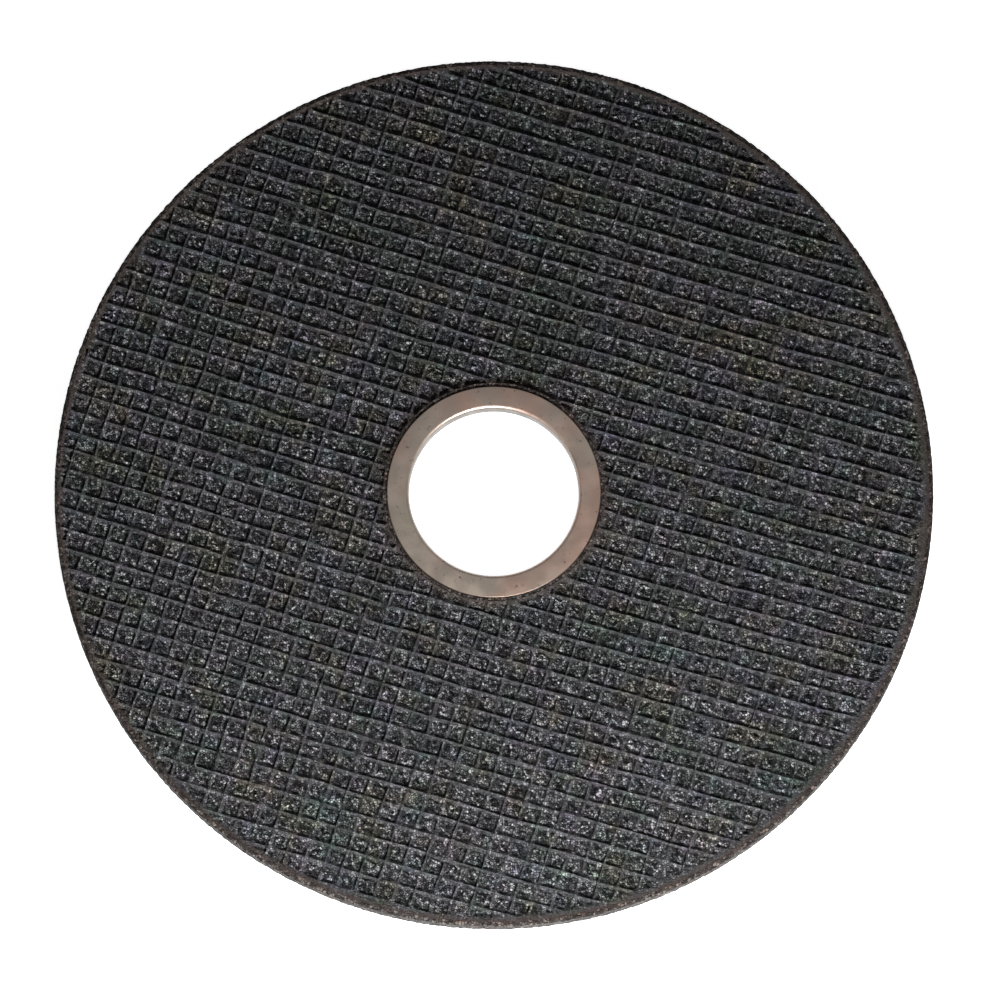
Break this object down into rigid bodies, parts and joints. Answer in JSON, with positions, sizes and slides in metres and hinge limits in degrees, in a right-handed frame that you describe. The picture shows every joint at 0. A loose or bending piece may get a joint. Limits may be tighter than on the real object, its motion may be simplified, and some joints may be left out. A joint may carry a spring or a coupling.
{
  "type": "cut off wheel",
  "caption": "Flat bonded abrasive cut-off wheel with a woven reinforcing mesh in each face and a flanged steel ring in its arbor bore.",
  "frame": {"origin": "on the bore axis, at the back face that the wheel lies on", "axes": "+Z along the bore axis, towards the flange of the ring"},
  "size_m": [0.115, 0.115, 0.0032],
  "materials": {
    "bonded_abrasive": "rough grain in dark resin",
    "reinforcing_mesh": "resin-coated weave",
    "ring_steel": "dull, lightly oxidised"
  },
  "bodies": {
    "root": {"abrasive_disc": "bonded_abrasive", "front_mesh": "reinforcing_mesh", "back_mesh": "reinforcing_mesh", "bore_ring": "ring_steel"}
  },
  "joints": []
}
